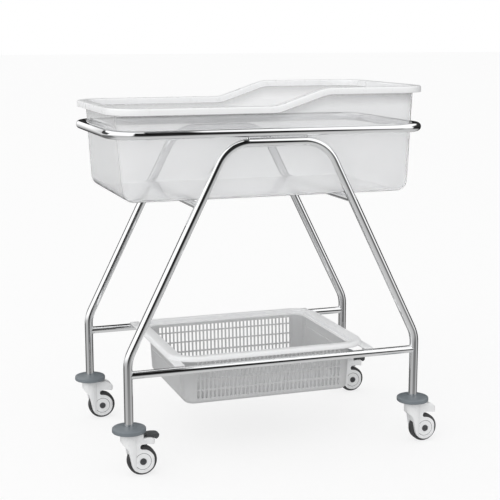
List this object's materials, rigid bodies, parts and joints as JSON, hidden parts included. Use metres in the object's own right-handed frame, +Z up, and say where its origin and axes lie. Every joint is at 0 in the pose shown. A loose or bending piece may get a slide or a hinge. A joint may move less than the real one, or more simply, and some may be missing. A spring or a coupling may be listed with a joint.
{
  "type": "hospital bassinet",
  "caption": "Wheeled hospital bassinet: chrome tube stand with a lift-out translucent tub and white rim, a slotted basket below, and swivel casters, some with brake pedals.",
  "frame": {"origin": "on the floor, in the middle of the part's box seen from above", "axes": "+Z up, +X towards the head end (the end with the raised rim), +Y towards the far side of the picture"},
  "size_m": [0.986, 0.6178, 1.0445],
  "materials": {
    "chrome_tube": "polished",
    "tub_plastic": "clear, glossy, slightly milky",
    "white_plastic": "glossy",
    "basket_plastic": "satin",
    "bumper_plastic": "satin",
    "tyre_rubber": "matte",
    "dark_plastic": "satin",
    "steel": "plain"
  },
  "bodies": {
    "frame": {"near_side_frame": "chrome_tube", "near_lower_rail": "chrome_tube", "near_foot_ring_post": "chrome_tube", "near_head_ring_post": "chrome_tube", "far_side_frame": "chrome_tube", "far_lower_rail": "chrome_tube", "far_foot_ring_post": "chrome_tube", "far_head_ring_post": "chrome_tube", "upper_ring": "chrome_tube", "foot_cross_tube": "chrome_tube", "head_cross_tube": "chrome_tube", "near_foot_leg_insert": "dark_plastic", "near_foot_swivel_stem": "steel", "near_foot_bumper": "bumper_plastic", "near_head_leg_insert": "dark_plastic", "near_head_swivel_stem": "steel", "near_head_bumper": "bumper_plastic", "far_foot_leg_insert": "dark_plastic", "far_foot_swivel_stem": "steel", "far_foot_bumper": "bumper_plastic", "far_head_leg_insert": "dark_plastic", "far_head_swivel_stem": "steel", "far_head_bumper": "bumper_plastic"},
    "tub": {"tub_shell": "tub_plastic", "tub_rim": "white_plastic"},
    "basket": {"basket": "basket_plastic"},
    "near_foot_caster": {"near_foot_caster_housing": "white_plastic", "near_foot_pedal_pin": "steel", "near_foot_axle_bolt": "dark_plastic", "near_foot_axle_nut": "dark_plastic"},
    "near_foot_wheel": {"near_foot_wheel_hub": "white_plastic", "near_foot_tyre": "tyre_rubber"},
    "near_foot_pedal": {"near_foot_brake_pedal": "dark_plastic"},
    "near_head_caster": {"near_head_caster_housing": "white_plastic", "near_head_axle_bolt": "dark_plastic", "near_head_axle_nut": "dark_plastic"},
    "near_head_wheel": {"near_head_wheel_hub": "white_plastic", "near_head_tyre": "tyre_rubber"},
    "far_foot_caster": {"far_foot_caster_housing": "white_plastic", "far_foot_axle_bolt": "dark_plastic", "far_foot_axle_nut": "dark_plastic"},
    "far_foot_wheel": {"far_foot_wheel_hub": "white_plastic", "far_foot_tyre": "tyre_rubber"},
    "far_head_caster": {"far_head_caster_housing": "white_plastic", "far_head_pedal_pin": "steel", "far_head_axle_bolt": "dark_plastic", "far_head_axle_nut": "dark_plastic"},
    "far_head_wheel": {"far_head_wheel_hub": "white_plastic", "far_head_tyre": "tyre_rubber"},
    "far_head_pedal": {"far_head_brake_pedal": "dark_plastic"}
  },
  "joints": [
    {"name": "tub_lift", "type": "slide", "parent": "frame", "child": "tub", "axis": [0, 0, 1], "range_m": [0, 0.22]},
    {"name": "basket_lift", "type": "slide", "parent": "frame", "child": "basket", "axis": [0, 0, 1], "range_m": [0, 0.16]},
    {"name": "near_foot_swivel", "type": "hinge", "parent": "frame", "child": "near_foot_caster", "pos_m": [-0.4465, -0.2624, 0.118], "axis": [0, 0, 1], "continuous": true},
    {"name": "near_foot_wheel_spin", "type": "hinge", "parent": "near_foot_caster", "child": "near_foot_wheel", "pos_m": [-0.4125, -0.2624, 0.041], "axis": [0, 1, 0], "continuous": true},
    {"name": "near_foot_brake", "type": "hinge", "parent": "near_foot_caster", "child": "near_foot_pedal", "pos_m": [-0.4195, -0.2624, 0.105], "axis": [0, -1, 0], "range_deg": [0, 8]},
    {"name": "near_head_swivel", "type": "hinge", "parent": "frame", "child": "near_head_caster", "pos_m": [0.4095, -0.2624, 0.118], "axis": [0, 0, 1], "continuous": true},
    {"name": "near_head_wheel_spin", "type": "hinge", "parent": "near_head_caster", "child": "near_head_wheel", "pos_m": [0.4435, -0.2624, 0.041], "axis": [0, 1, 0], "continuous": true},
    {"name": "far_foot_swivel", "type": "hinge", "parent": "frame", "child": "far_foot_caster", "pos_m": [-0.4465, 0.2624, 0.118], "axis": [0, 0, 1], "continuous": true},
    {"name": "far_foot_wheel_spin", "type": "hinge", "parent": "far_foot_caster", "child": "far_foot_wheel", "pos_m": [-0.4125, 0.2624, 0.041], "axis": [0, 1, 0], "continuous": true},
    {"name": "far_head_swivel", "type": "hinge", "parent": "frame", "child": "far_head_caster", "pos_m": [0.4095, 0.2624, 0.118], "axis": [0, 0, 1], "continuous": true},
    {"name": "far_head_wheel_spin", "type": "hinge", "parent": "far_head_caster", "child": "far_head_wheel", "pos_m": [0.4435, 0.2624, 0.041], "axis": [0, 1, 0], "continuous": true},
    {"name": "far_head_brake", "type": "hinge", "parent": "far_head_caster", "child": "far_head_pedal", "pos_m": [0.4365, 0.2624, 0.105], "axis": [0, -1, 0], "range_deg": [0, 8]}
  ]
}
